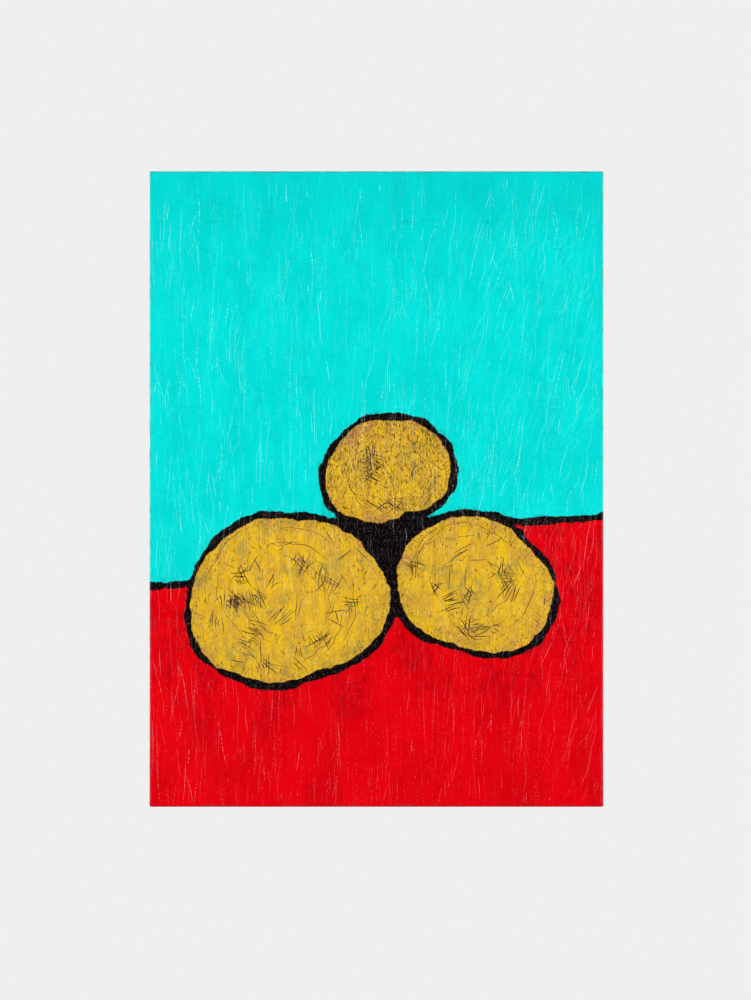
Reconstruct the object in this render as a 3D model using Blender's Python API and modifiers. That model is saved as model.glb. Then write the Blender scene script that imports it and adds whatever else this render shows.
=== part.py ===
"""Painted canvas, 50 x 70 cm, stretched over a keyed pine stretcher.

Metres, +Z up. The painted face looks towards -Y and the stapled back towards +Y.
The origin is the centre of the whole object.

A corner of the stretcher is described by two distances: across, inwards from the left or right
outer edge, and down, inwards from the top or bottom outer edge. Both start at the outer corner.
"""

import math
import random

import bmesh
import bpy
from mathutils import Matrix, Vector

# Overall size and the clearance between neighbouring pieces
WIDTH = 0.500
HEIGHT = 0.700
GAP = 0.0003

# Cloth: primed cotton duck wrapped round the stretcher
CLOTH = 0.0006
CLOTH_EDGE_RADIUS = 0.0015
FLAP = 0.030
PLEAT_RISE = 0.0005
PLEAT_LENGTH = 0.016
FOLD_RISE = 0.0006
FOLD_LENGTH = 0.048

# Paint films on the front
PAINT = 0.0005
LINE_PAINT = 0.0009
PAINT_MARGIN = 0.002
LINE_WIDTH = 0.0077

# Stretcher bars
BAR_WIDTH = 0.042
BAR_DEPTH = 0.018
RIM_WIDTH = 0.006
RIM_RADIUS = 0.002
RIM_HEIGHT = 0.0022
BAR_TAPER = 0.001
CHAMFER = 0.001

# Corner joints: each bar has one tongue, and one slot for its neighbour's tongue
TONGUE_LAYERS = ((0.0050, 0.0095), (0.0095, 0.0140))
SHOULDER = 0.005
RELIEF = 0.0004
JOINT_ZONE = 0.080

# Keys: thin wedges driven in beside the tongues
KEY_LENGTH = 0.038
KEY_TIP = 0.005
KEY_HEAD = 0.015
KEY_BITE = 0.012

# Staples
STAPLE_CROWN = 0.012
STAPLE_WIRE = 0.0006
STAPLE_BREADTH = 0.0012
STAPLE_LEG = 0.008
STAPLE_INSET = 0.017
STAPLE_FROM_CORNER = 0.060
STAPLES_ON_RAIL = 8
STAPLES_ON_STILE = 11
STAPLE_TILT = math.radians(6)
STAPLE_DRIFT = 0.002

# Stones in the picture: centre x, centre z, mean radius, stretch, turn
STONES = (
    (-0.098, -0.122, 0.103, 0.10, 0.15),
    (0.108, -0.106, 0.083, 0.10, 2.75),
    (0.012, 0.020, 0.066, 0.11, 0.25),
)
STONE_SKEW = 0.32
STONE_CORNERS = 0.014
STONE_DENTS = 0.0084
STONE_SEGMENTS = 56
SLOPE_HEIGHT = -0.064
SLOPE_GRADIENT = 0.17
SLOPE_SWELL = 0.009
SLOPE_SWELL_LENGTH = 0.42
SLOPE_PHASE = 0.6
SLOPE_SEGMENTS = 24

# Depths from front to back, worked out so that the whole object is centred on y = 0
STAPLE_RISE = GAP + STAPLE_WIRE
DEPTH = LINE_PAINT + 3 * GAP + 2 * CLOTH + BAR_DEPTH + STAPLE_RISE
FRONT_Y = -DEPTH / 2
CLOTH_FRONT_Y = FRONT_Y + LINE_PAINT + GAP
BAR_FRONT_Y = CLOTH_FRONT_Y + CLOTH + GAP
BAR_BACK_Y = BAR_FRONT_Y + BAR_DEPTH
CLOTH_BACK_Y = BAR_BACK_Y + GAP + CLOTH

# Half sizes of the stretcher's outer rectangle
BAR_HALF_X = WIDTH / 2 - CLOTH - GAP
BAR_HALF_Z = HEIGHT / 2 - CLOTH - GAP

PAST = 0.001  # how far a cutter runs past the face it cuts


def clear_scene():
    for item in list(bpy.data.objects):
        bpy.data.objects.remove(item, do_unlink=True)


def new_collection(name):
    collection = bpy.data.collections.new(name)
    bpy.context.scene.collection.children.link(collection)
    return collection


def new_material(name, color, roughness, metallic=0.0):
    material = bpy.data.materials.new(name)
    material.use_nodes = True
    shader = material.node_tree.nodes["Principled BSDF"]
    shader.inputs["Base Color"].default_value = (*color, 1.0)
    shader.inputs["Roughness"].default_value = roughness
    shader.inputs["Metallic"].default_value = metallic
    return material


def mesh_object(name, mesh, collection, material=None):
    piece = bpy.data.objects.new(name, mesh)
    collection.objects.link(piece)
    if material is not None:
        mesh.materials.append(material)
    return piece


def make_cutter(piece):
    piece.hide_render = True
    piece.display_type = "WIRE"
    return piece


def frame_matrix(x_axis, y_axis, z_axis, origin):
    """Where a shape's own axes and origin lie in the world."""
    turn = Matrix((x_axis, y_axis, z_axis)).transposed().to_4x4()
    return Matrix.Translation(origin) @ turn


def outline_mesh(name, outline, half_thickness, matrix, holes=()):
    """Extrude a flat outline, given in the matrix's own x and y, to both sides along its z."""
    curve = bpy.data.curves.new(name, "CURVE")
    curve.dimensions = "2D"
    curve.fill_mode = "BOTH"
    curve.extrude = half_thickness
    for loop in (outline, *holes):
        spline = curve.splines.new("POLY")
        spline.points.add(len(loop) - 1)
        spline.use_cyclic_u = True
        for point, (x, y) in zip(spline.points, loop):
            point.co = (x, y, 0.0, 1.0)
    guide = bpy.data.objects.new(name + "_curve", curve)
    bpy.context.scene.collection.objects.link(guide)
    mesh = bpy.data.meshes.new_from_object(guide.evaluated_get(bpy.context.evaluated_depsgraph_get()))
    bpy.data.objects.remove(guide, do_unlink=True)
    bpy.data.curves.remove(curve)
    mesh.name = name
    bm = bmesh.new()
    bm.from_mesh(mesh)
    bmesh.ops.remove_doubles(bm, verts=bm.verts, dist=1e-6)
    bmesh.ops.transform(bm, matrix=matrix, verts=bm.verts)
    bmesh.ops.recalc_face_normals(bm, faces=bm.faces)
    bm.to_mesh(mesh)
    bm.free()
    return mesh


def upright_plate(name, outline, y0, y1, holes=()):
    """A plate parallel to the picture: the outline is in x and z."""
    frame = frame_matrix((1, 0, 0), (0, 0, 1), (0, -1, 0), (0, (y0 + y1) / 2, 0))
    return outline_mesh(name, outline, (y1 - y0) / 2, frame, holes)


def joined(name, meshes):
    """One mesh that holds several closed shapes which don't touch."""
    bm = bmesh.new()
    for mesh in meshes:
        bm.from_mesh(mesh)
        bpy.data.meshes.remove(mesh)
    mesh = bpy.data.meshes.new(name)
    bm.to_mesh(mesh)
    bm.free()
    return mesh


def box_mesh(name, places):
    """Boxes given as (matrix, size), joined in one mesh."""
    bm = bmesh.new()
    for matrix, size in places:
        bmesh.ops.create_cube(bm, size=1.0, matrix=matrix @ Matrix.Diagonal((*size, 1.0)))
    mesh = bpy.data.meshes.new(name)
    bm.to_mesh(mesh)
    bm.free()
    return mesh


def add_boolean(piece, operand, operation):
    modifier = piece.modifiers.new(operand.name, "BOOLEAN")
    modifier.operation = operation
    modifier.object = operand
    modifier.solver = "EXACT"


# Corner geometry


def corner_point(side, end, across, down):
    """World x and z of a place near a corner; side and end are -1 or 1."""
    return (side * (BAR_HALF_X - across), end * (BAR_HALF_Z - down))


def at_corner(side, end, outline, swapped=False):
    """Carry an outline of (across, down) pairs to a corner; swapped exchanges the pair."""
    pairs = [(b, a) if swapped else (a, b) for a, b in outline]
    return [corner_point(side, end, across, down) for across, down in pairs]


def layer_y(depth):
    return BAR_FRONT_Y + depth


INNER_EDGE = BAR_WIDTH - RELIEF
KEY_EDGE = INNER_EDGE + GAP
KEY_TIP_DOWN = INNER_EDGE - KEY_BITE
KEY_SLOPE = (KEY_HEAD - KEY_TIP) / KEY_LENGTH


def key_outline():
    """A key that stands along a stile, with its tip in the rail's pocket."""
    head_down = KEY_TIP_DOWN + KEY_LENGTH
    return [
        (KEY_EDGE, KEY_TIP_DOWN),
        (KEY_EDGE + KEY_TIP, KEY_TIP_DOWN),
        (KEY_EDGE + KEY_HEAD, head_down),
        (KEY_EDGE, head_down),
    ]


def slot_outline():
    """What a rail loses in one layer to its neighbour's tongue and to the key beside it."""
    mouth = BAR_WIDTH + PAST
    pocket_top = KEY_TIP_DOWN - GAP
    pocket_side = KEY_EDGE + KEY_TIP + GAP
    return [
        (-PAST, SHOULDER - GAP),
        (KEY_EDGE, SHOULDER - GAP),
        (KEY_EDGE, pocket_top),
        (pocket_side, pocket_top),
        (pocket_side + KEY_SLOPE * (mouth - pocket_top), mouth),
        (-PAST, mouth),
    ]


def tongue_outline():
    """A rail's tongue: it runs past the mitre, and back into the rail to join it."""
    root = SHOULDER / 2
    return [
        (SHOULDER, SHOULDER + root),
        (SHOULDER + root, SHOULDER),
        (INNER_EDGE + root, INNER_EDGE - root),
        (INNER_EDGE + root, INNER_EDGE),
        (SHOULDER, INNER_EDGE),
    ]


def relief_outline():
    """A shallow rebate along the inner edge, which lets the keys slide."""
    return [
        (-PAST, INNER_EDGE),
        (JOINT_ZONE, INNER_EDGE),
        (JOINT_ZONE, BAR_WIDTH + PAST),
        (-PAST, BAR_WIDTH + PAST),
    ]


# Stretcher bars


def arc(center, radius, start, stop, steps):
    cx, cy = center
    angles = [start + (stop - start) * i / steps for i in range(steps + 1)]
    return [(cx + radius * math.cos(a), cy + radius * math.sin(a)) for a in angles]


def bar_profile():
    """Section of a bar: x runs inwards from its outer edge and y from front to back."""
    rim = arc((RIM_RADIUS, RIM_RADIUS), RIM_RADIUS, math.pi, 1.5 * math.pi, 4)
    front_low = RIM_HEIGHT + BAR_TAPER
    return rim + [
        (RIM_WIDTH, 0.0),
        (RIM_WIDTH + 2 * RIM_HEIGHT, RIM_HEIGHT),
        (BAR_WIDTH - CHAMFER, front_low),
        (BAR_WIDTH, front_low + CHAMFER),
        (BAR_WIDTH, BAR_DEPTH - CHAMFER),
        (BAR_WIDTH - CHAMFER, BAR_DEPTH),
        (CHAMFER, BAR_DEPTH),
        (0.0, BAR_DEPTH - CHAMFER),
    ]


def bar_frame(inward):
    """Matrix of a bar: x inwards, y from front to back, z along it, from its outer front edge."""
    back = Vector((0, 1, 0))
    inward = Vector(inward)
    origin = (-inward.x * BAR_HALF_X, BAR_FRONT_Y, -inward.z * BAR_HALF_Z)
    return frame_matrix(inward, back, inward.cross(back), origin)


def bar_ends(inward):
    """The two corners of a bar, as (side, end) pairs."""
    x, _, z = inward
    if x:
        return [(-x, -1), (-x, 1)]
    return [(-1, -z), (1, -z)]


def bar_mesh(name, inward, half_length):
    """The bar's section, drawn out along it and cut at 45 degrees at both ends."""
    mesh = outline_mesh(name, bar_profile(), half_length, Matrix.Identity(4))
    bm = bmesh.new()
    bm.from_mesh(mesh)
    for way in (-1, 1):
        cut = bmesh.ops.bisect_plane(
            bm,
            geom=bm.verts[:] + bm.edges[:] + bm.faces[:],
            plane_co=(0.0, 0.0, way * (half_length - GAP)),
            plane_no=(1.0, 0.0, way),
            clear_outer=True,
        )
        rim = [item for item in cut["geom_cut"] if isinstance(item, bmesh.types.BMEdge)]
        bmesh.ops.edgeloop_fill(bm, edges=rim)
    bmesh.ops.transform(bm, matrix=bar_frame(inward), verts=bm.verts)
    bmesh.ops.recalc_face_normals(bm, faces=bm.faces)
    bm.to_mesh(mesh)
    bm.free()
    return mesh


def build_bar(name, inward, staples, parts, cutters, material):
    is_stile = inward[0] != 0
    half_length = BAR_HALF_Z if is_stile else BAR_HALF_X
    bar = mesh_object(name, bar_mesh(name, inward, half_length), parts, material)
    tongue, slot = TONGUE_LAYERS if is_stile else reversed(TONGUE_LAYERS)
    steps = (
        ("relief", relief_outline(), -PAST, BAR_DEPTH + PAST, "DIFFERENCE"),
        ("slot", slot_outline(), slot[0] - GAP / 2, slot[1] + GAP / 2, "DIFFERENCE"),
        ("tongue", tongue_outline(), tongue[0] + GAP, tongue[1] - GAP, "UNION"),
    )
    for label, outline, front, back, operation in steps:
        plates = [
            upright_plate(
                label,
                at_corner(side, end, outline, swapped=is_stile),
                layer_y(front),
                layer_y(back),
            )
            for side, end in bar_ends(inward)
        ]
        operand_name = f"{name}_{label}"
        operand = make_cutter(mesh_object(operand_name, joined(operand_name, plates), cutters))
        add_boolean(bar, operand, operation)
    add_boolean(bar, staples, "DIFFERENCE")
    return bar


def build_keys(parts, material):
    names = {(-1, 1): "top_left", (1, 1): "top_right", (-1, -1): "bottom_left", (1, -1): "bottom_right"}
    for (side, end), corner in names.items():
        for swapped, way in ((False, "upright"), (True, "level")):
            front, back = TONGUE_LAYERS[1 if swapped else 0]
            outline = at_corner(side, end, key_outline(), swapped)
            name = f"key_{corner}_{way}"
            y0, y1 = layer_y(front + GAP / 2), layer_y(back - GAP / 2)
            mesh_object(name, upright_plate(name, outline, y0, y1), parts, material)


# Staples


def staple_outline():
    """A staple: x along its crown, y from the crown's outer face to the tips of its legs."""
    half = STAPLE_CROWN / 2
    wire = STAPLE_WIRE
    ease = wire / 2
    shoulder = [(-half, ease), (-half + ease, 0.0), (half - ease, 0.0), (half, ease)]
    right_leg = [(half, STAPLE_LEG - 2 * wire), (half - wire, STAPLE_LEG), (half - wire, wire)]
    left_leg = [(-half + wire, wire), (-half + wire, STAPLE_LEG), (-half, STAPLE_LEG - 2 * wire)]
    return shoulder + right_leg + left_leg


def staple_frames():
    """Name and matrix of each staple, by bar: x along the crown, y towards the front."""
    draw = random.Random(7)
    frames = {}
    crown_y = CLOTH_BACK_Y + STAPLE_RISE
    runs = (
        ("top", (0, 0, -1), STAPLES_ON_RAIL, BAR_HALF_X),
        ("bottom", (0, 0, 1), STAPLES_ON_RAIL, BAR_HALF_X),
        ("left", (1, 0, 0), STAPLES_ON_STILE, BAR_HALF_Z),
        ("right", (-1, 0, 0), STAPLES_ON_STILE, BAR_HALF_Z),
    )
    for bar, inward, count, half_length in runs:
        inward = Vector(inward)
        forward = Vector((0, -1, 0))
        along = forward.cross(inward)
        edge = Vector((-inward.x * BAR_HALF_X, crown_y, -inward.z * BAR_HALF_Z))
        reach = half_length - STAPLE_FROM_CORNER
        rows = []
        for i in range(count):
            place = -reach + 2 * reach * i / (count - 1)
            inset = STAPLE_INSET + draw.uniform(-STAPLE_DRIFT, STAPLE_DRIFT)
            tilt = Matrix.Rotation(draw.uniform(-STAPLE_TILT, STAPLE_TILT), 4, "Y")
            spot = edge + along * place + inward * inset
            frame = frame_matrix(along, forward, along.cross(forward), spot)
            rows.append((f"staple_{bar}_{i + 1}", frame @ tilt))
        frames[bar] = rows
    return frames


def leg_holes(name, rows, collection):
    """Slots a little larger than the legs, from outside the cloth to past the tips."""
    leg_center = (STAPLE_CROWN - STAPLE_WIRE) / 2
    top = STAPLE_RISE - PAST
    bottom = STAPLE_LEG + GAP
    size = (STAPLE_WIRE + 2 * GAP, bottom - top, STAPLE_BREADTH + 2 * GAP)
    places = [
        (frame @ Matrix.Translation((leg_center * way, (top + bottom) / 2, 0)), size)
        for _, frame in rows
        for way in (-1, 1)
    ]
    return make_cutter(mesh_object(name, box_mesh(name, places), collection))


def build_staples(frames, parts, material):
    for rows in frames.values():
        for name, frame in rows:
            mesh = outline_mesh(name, staple_outline(), STAPLE_BREADTH / 2, frame)
            mesh_object(name, mesh, parts, material)


# Cloth


def pleat_mesh(side, end):
    """The tucked corner's outer layer on a side face: a triangle that widens towards the back."""
    edge = 1.3 * CLOTH_EDGE_RADIUS
    front = CLOTH_FRONT_Y + edge
    back = CLOTH_BACK_Y - edge
    tip = HEIGHT / 2 - edge
    outline = [(front, end * tip), (back, end * tip), (back, end * (tip - PLEAT_LENGTH))]
    buried = CLOTH / 2
    half = (PLEAT_RISE + buried) / 2
    middle = side * (WIDTH / 2 + PLEAT_RISE - half)
    frame = frame_matrix((0, 1, 0), (0, 0, 1), (1, 0, 0), (middle, 0, 0))
    return outline_mesh("pleat", outline, half, frame)


def fold_mesh(side, end):
    """The folded layers under the side flap's mitred end, on the back."""
    edge = 2 * CLOTH_EDGE_RADIUS
    inner = FLAP - GAP
    outline = [
        (edge, edge + PAST),
        (inner, inner + PAST),
        (inner, FOLD_LENGTH),
        (edge, FOLD_LENGTH),
    ]
    points = [(side * (WIDTH / 2 - a), end * (HEIGHT / 2 - b)) for a, b in outline]
    return upright_plate("fold", points, CLOTH_BACK_Y - CLOTH / 2, CLOTH_BACK_Y + FOLD_RISE)


def build_canvas(holes, parts, cutters, material):
    depth = CLOTH_BACK_Y - CLOTH_FRONT_Y
    middle = (CLOTH_BACK_Y + CLOTH_FRONT_Y) / 2
    bm = bmesh.new()
    size = Matrix.Diagonal((WIDTH, depth, HEIGHT, 1.0))
    bmesh.ops.create_cube(bm, size=1.0, matrix=Matrix.Translation((0, middle, 0)) @ size)
    bmesh.ops.bevel(
        bm,
        geom=bm.edges[:],
        offset=CLOTH_EDGE_RADIUS,
        segments=3,
        profile=0.5,
        affect="EDGES",
    )
    back = max(bm.faces, key=lambda face: face.calc_center_median().y)
    bmesh.ops.inset_region(bm, faces=[back], thickness=FLAP - CLOTH_EDGE_RADIUS, use_even_offset=True)
    bmesh.ops.delete(bm, geom=[back], context="FACES")
    mesh = bpy.data.meshes.new("canvas")
    bm.to_mesh(mesh)
    bm.free()
    canvas = mesh_object("canvas", mesh, parts, material)
    shell = canvas.modifiers.new("thickness", "SOLIDIFY")
    shell.thickness = CLOTH
    shell.offset = -1.0
    shell.use_even_offset = True

    corners = [(side, end) for side in (-1, 1) for end in (-1, 1)]
    for label, shape in (("pleats", pleat_mesh), ("folds", fold_mesh)):
        mesh = joined(label, [shape(side, end) for side, end in corners])
        layer = make_cutter(mesh_object(label, mesh, cutters))
        add_boolean(canvas, layer, "UNION")
    for cutter in holes:
        add_boolean(canvas, cutter, "DIFFERENCE")
    return canvas


# Picture: a heap of three stones on a slope


def stone_radius(mean, stretch, turn, angle):
    """An oval, skewed and with blunt corners, as a brush would draw it by eye."""
    oval = stretch * (math.cos(2 * (angle - turn)) + STONE_SKEW * math.cos(3 * (angle + turn)))
    corners = STONE_CORNERS * math.cos(5 * angle + 9 * turn) + STONE_DENTS * math.cos(7 * angle - 5 * turn)
    return mean * (1 + oval + corners)


def stone_outline(stone, grow):
    x, z, mean, stretch, turn = stone
    points = []
    for i in range(STONE_SEGMENTS):
        angle = 2 * math.pi * i / STONE_SEGMENTS
        radius = stone_radius(mean, stretch, turn, angle) + grow
        points.append((x + radius * math.cos(angle), z + radius * math.sin(angle)))
    return points


def slope_height(x):
    swell = SLOPE_SWELL * math.sin(2 * math.pi * x / SLOPE_SWELL_LENGTH + SLOPE_PHASE)
    return SLOPE_HEIGHT + SLOPE_GRADIENT * x + swell


def slope_line(offset):
    """The slope from left to right, shifted sideways by the offset and ended at the paint's margin."""
    half = WIDTH / 2 - PAINT_MARGIN
    lift = offset * math.hypot(1.0, SLOPE_GRADIENT)
    xs = [-half + 2 * half * i / SLOPE_SEGMENTS for i in range(SLOPE_SEGMENTS + 1)]
    return [(x, slope_height(x) + lift) for x in xs]


def cut_stones(piece, label, grow, collection):
    """Cut each stone's outline, grown by the given width, out of a paint film."""
    for number, stone in enumerate(STONES, 1):
        name = f"{piece.name}_{label}_{number}"
        mesh = upright_plate(name, stone_outline(stone, grow), FRONT_Y - PAST, CLOTH_FRONT_Y + PAST)
        cutter = make_cutter(mesh_object(name, mesh, collection))
        add_boolean(piece, cutter, "DIFFERENCE")


def hollow_plate(name, y0, y1, collection):
    """The gap that the three stones close in, and more: a triangle between their centres."""
    centers = [stone[:2] for stone in STONES]
    return make_cutter(mesh_object(name, upright_plate(name, centers, y0, y1), collection))


def build_paint(parts, cutters, colors):
    half_line = LINE_WIDTH / 2
    half_x = WIDTH / 2 - PAINT_MARGIN
    half_z = HEIGHT / 2 - PAINT_MARGIN
    back = CLOTH_FRONT_Y - GAP
    hollow_cut = hollow_plate("hollow_cut", FRONT_Y - PAST, CLOTH_FRONT_Y + PAST, cutters)
    hollow = hollow_plate("hollow", back - LINE_PAINT, back, cutters)

    fields = (
        ("paint_turquoise", 1, slope_line(half_line + GAP)),
        ("paint_red", -1, slope_line(-half_line - GAP)),
    )
    for name, way, border in fields:
        outline = border + [(half_x, way * half_z), (-half_x, way * half_z)]
        mesh = upright_plate(name, outline, back - PAINT, back)
        field = mesh_object(name, mesh, parts, colors[name])
        add_boolean(field, hollow_cut, "DIFFERENCE")
        cut_stones(field, "stone", half_line + GAP, cutters)

    lines = slope_line(half_line) + slope_line(-half_line)[::-1]
    mesh = upright_plate("paint_lines", lines, back - LINE_PAINT, back)
    line = mesh_object("paint_lines", mesh, parts, colors["paint_lines"])
    add_boolean(line, hollow, "UNION")
    cut_stones(line, "inside", 0.0, cutters)
    for number, stone in enumerate(STONES, 1):
        mesh = upright_plate(
            f"ring_{number}",
            stone_outline(stone, half_line),
            back - LINE_PAINT,
            back,
            holes=[stone_outline(stone, -half_line)],
        )
        ring = make_cutter(mesh_object(f"ring_{number}", mesh, cutters))
        add_boolean(line, ring, "UNION")

    for number, stone in enumerate(STONES, 1):
        name = f"paint_stone_{number}"
        outline = stone_outline(stone, -half_line - GAP)
        mesh_object(name, upright_plate(name, outline, back - PAINT, back), parts, colors["paint_stone"])


def main():
    clear_scene()
    parts = new_collection("stretched_canvas")
    cutters = new_collection("cutters")

    pine = new_material("pine", (0.62, 0.43, 0.25), 0.55)
    beech = new_material("beech", (0.55, 0.36, 0.20), 0.5)
    cloth = new_material("primed_cotton", (0.78, 0.76, 0.70), 0.8)
    steel = new_material("steel_wire", (0.55, 0.55, 0.56), 0.3, 1.0)
    colors = {
        "paint_turquoise": new_material("turquoise_acrylic", (0.003, 0.76, 0.72), 0.35),
        "paint_red": new_material("red_acrylic", (0.72, 0.002, 0.008), 0.35),
        "paint_stone": new_material("ochre_acrylic", (0.70, 0.40, 0.04), 0.4),
        "paint_lines": new_material("black_acrylic", (0.006, 0.004, 0.005), 0.35),
    }

    frames = staple_frames()
    holes = {bar: leg_holes(f"leg_holes_{bar}", rows, cutters) for bar, rows in frames.items()}
    inwards = {"top": (0, 0, -1), "bottom": (0, 0, 1), "left": (1, 0, 0), "right": (-1, 0, 0)}
    for bar, inward in inwards.items():
        build_bar(f"bar_{bar}", inward, holes[bar], parts, cutters, pine)
    build_keys(parts, beech)
    build_staples(frames, parts, steel)
    build_canvas(holes.values(), parts, cutters, cloth)
    build_paint(parts, cutters, colors)


main()
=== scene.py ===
"""Looks of a painted canvas, 50 x 70 cm, stretched over a keyed pine stretcher.

Metres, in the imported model's frame. The painted face looks towards -Y and the stapled back
towards +Y. The picture shows three ochre stones heaped on a slope, in thick black outlines.
"""

import math
import random

import bmesh
import bpy
import numpy as np
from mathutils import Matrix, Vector, noise


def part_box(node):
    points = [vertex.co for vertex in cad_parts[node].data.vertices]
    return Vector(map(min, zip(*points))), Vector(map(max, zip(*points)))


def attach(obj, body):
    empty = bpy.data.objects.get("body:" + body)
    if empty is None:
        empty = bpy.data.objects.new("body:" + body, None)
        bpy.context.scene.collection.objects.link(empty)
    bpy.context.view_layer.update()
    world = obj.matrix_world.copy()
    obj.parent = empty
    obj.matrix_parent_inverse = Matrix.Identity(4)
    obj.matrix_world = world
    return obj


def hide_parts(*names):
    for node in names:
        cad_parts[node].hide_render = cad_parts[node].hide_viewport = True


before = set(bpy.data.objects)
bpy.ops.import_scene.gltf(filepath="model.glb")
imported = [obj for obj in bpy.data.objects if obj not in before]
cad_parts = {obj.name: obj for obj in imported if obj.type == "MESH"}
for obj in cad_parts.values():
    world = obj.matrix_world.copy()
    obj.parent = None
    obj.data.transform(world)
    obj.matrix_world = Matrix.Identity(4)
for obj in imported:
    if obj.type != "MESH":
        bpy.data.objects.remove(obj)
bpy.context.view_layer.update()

# Photograph: the painting's edges in pixels, in an image of 751 x 1000
IMAGE_WIDTH = 751
IMAGE_HEIGHT = 1000
PICTURE_LEFT = 149.5
PICTURE_RIGHT = 603.4
PICTURE_TOP = 171.6
PICTURE_BOTTOM = 806.5

# Camera and stage
LENS = 135.0
SENSOR = 36.0
BACKDROP = 0.863
DIM_SURROUND = 0.02
FLOOR_DROP = 1.2
FLOOR_HALF = 7.0
FLOOR_GLOW = 0.845

# Lights: name, place, width and height, power. The back ones stand about level with the picture,
# so that from the front and above its glossy top edge mirrors neither of them.
LIGHTS = (
    ("left_softbox", (-2.5, -2.6, 0.0), (1.3, 1.3), 87.0),
    ("right_softbox", (2.5, -2.6, 0.0), (1.3, 1.3), 87.0),
    ("top_fill", (0.0, -0.8, 3.0), (2.4, 1.6), 22.0),
    ("back_left", (-2.0, 2.6, 0.2), (1.6, 1.6), 70.0),
    ("back_right", (2.2, 2.4, 0.0), (1.6, 1.6), 52.0),
)

# Cloth, wrapped round the bars
GAP = 0.0003
CLOTH = 0.0006
EDGE_RADIUS = 0.0015
FLAP = 0.03
PRIMED_FLAP = 0.019
CLOTH_STEP = 0.004
BEND_STEPS = 3
SIDE_STEPS = 5
FLAP_STEPS = 8
CORNER_SHARE = 0.8
INNER_BEND = 0.6
FLAP_LIFT = 0.0011
STAPLE_HOLD = 0.011
FOLD_LENGTH = 0.048
FOLD_MARGIN = 0.004
FOLD_RISE = 0.0006
PLEAT_RISE = 0.0005
PLEAT_LENGTH = 0.016
WEAVE_PITCH = 0.0013
THREAD_COUNT = 170
THREAD_STEPS = 5
THREAD_ROOT = 0.0014

# Paint film
PAINT_STEP = 0.002
FILM_BEND_STEPS = 4
PAINT_ON_SIDE = 0.0003
WRAP = 0.007
LEAST_WRAP = 0.0022
BARE_AT_BACK = 0.004
COAT = 0.0001
LINE_WIDTH = 0.0077
LINE_SHOULDER = 0.0008
LINE_FALL = 0.0026
LINE_SHARE = 0.8
STONE_FALL = 0.02
INK_PULL = 0.0018
LEAST_INK = 1e-300
RIM_WIDTH = 0.0035
# Strength of the dark rim along the picture's edges: partly painted shade where the paint rolls over the
# edge, partly grime
EDGE_SHADE_AND_GRIME = 0.45
PAINT_SPECULAR = 0.18

# Creases and scratches
BLUNT_END = 0.35
EDGE_MARGIN = 0.002
CREASE_COUNT = 2100
CREASE_STEP = 0.0026
CREASE_SINK = 0.0001
HATCHES_PER_AREA = 1750
CURVES_PER_LENGTH = 240
SPECKS_PER_AREA = 52000
STROKES_PER_AREA = 3200
STROKE_STEP = 0.0016
CURVE_STEP = 0.0022
SCRATCH_SINK = 0.00003
HATCH_RISE = 0.00009
FINE_RISE = 0.00008
HATCH_MARGIN = 0.0065
CURVE_MARGIN = 0.007
SPECK_MARGIN = 0.006

# The scratches' values of "strength", which pick their colour
BLACK_TONE = 0.1
MAUVE_TONE = 0.5
OLIVE_TONE = 0.9

# Painted highlight that a crease shows at full strength in the red, turquoise, ochre and black paint
CREASE_HIGHLIGHTS = (
    (1.0, 0.36, 0.42, 1.0),
    (0.25, 1.0, 1.0, 1.0),
    (1.0, 0.88, 0.5, 1.0),
    (0.48, 0.44, 0.44, 1.0),
)

# Growth rings of the woods, per metre
PINE_RINGS = 55.0
BEECH_RINGS = 90.0

# Places of the whole object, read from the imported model
CLOTH_FRONT_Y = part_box("canvas")[0].y
FIELD_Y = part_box("paint_red")[0].y
LINE_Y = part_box("paint_lines")[0].y
LINE_RISE = FIELD_Y - LINE_Y
CLOTH_BACK_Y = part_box("bar_left")[1].y + GAP + CLOTH
HALF_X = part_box("bar_right")[1].x + GAP + CLOTH
HALF_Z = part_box("canvas")[1].z
DEPTH = CLOTH_BACK_Y - CLOTH_FRONT_Y

# Picture, as in the solids: centre x, centre z, mean radius, stretch, turn of each stone
STONES = (
    (-0.098, -0.122, 0.103, 0.1, 0.15),
    (0.108, -0.106, 0.083, 0.1, 2.75),
    (0.012, 0.02, 0.066, 0.11, 0.25),
)
STONE_SKEW = 0.32
STONE_CORNERS = 0.014
STONE_DENTS = 0.0084
SLOPE_HEIGHT = -0.064
SLOPE_GRADIENT = 0.17
SLOPE_SWELL = 0.009
SLOPE_SWELL_LENGTH = 0.42
SLOPE_PHASE = 0.6


# Distances in the picture, for single places or whole arrays


def stone_distances(x, z):
    """How far outside each stone's outline a place lies."""
    found = []
    for center_x, center_z, mean, stretch, turn in STONES:
        angle = np.arctan2(z - center_z, x - center_x)
        oval = stretch * (np.cos(2 * (angle - turn)) + STONE_SKEW * np.cos(3 * (angle + turn)))
        corners = STONE_CORNERS * np.cos(5 * angle + 9 * turn)
        corners += STONE_DENTS * np.cos(7 * angle - 5 * turn)
        found.append(np.hypot(x - center_x, z - center_z) - mean * (1 + oval + corners))
    return found


def slope_distance(x, z):
    """How far above the slope's line a place lies."""
    swell = SLOPE_SWELL * np.sin(2 * math.pi * x / SLOPE_SWELL_LENGTH + SLOPE_PHASE)
    return (z - SLOPE_HEIGHT - SLOPE_GRADIENT * x - swell) / math.hypot(1.0, SLOPE_GRADIENT)


def hollow_distance(x, z):
    """How far outside the triangle between the stones' centres a place lies."""
    centers = [stone[:2] for stone in STONES]
    sides = []
    for (ax, az), (bx, bz) in zip(centers, centers[1:] + centers[:1]):
        length = math.hypot(bx - ax, bz - az)
        sides.append(((x - ax) * (bz - az) - (z - az) * (bx - ax)) / length)
    return np.maximum.reduce(sides)


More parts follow.
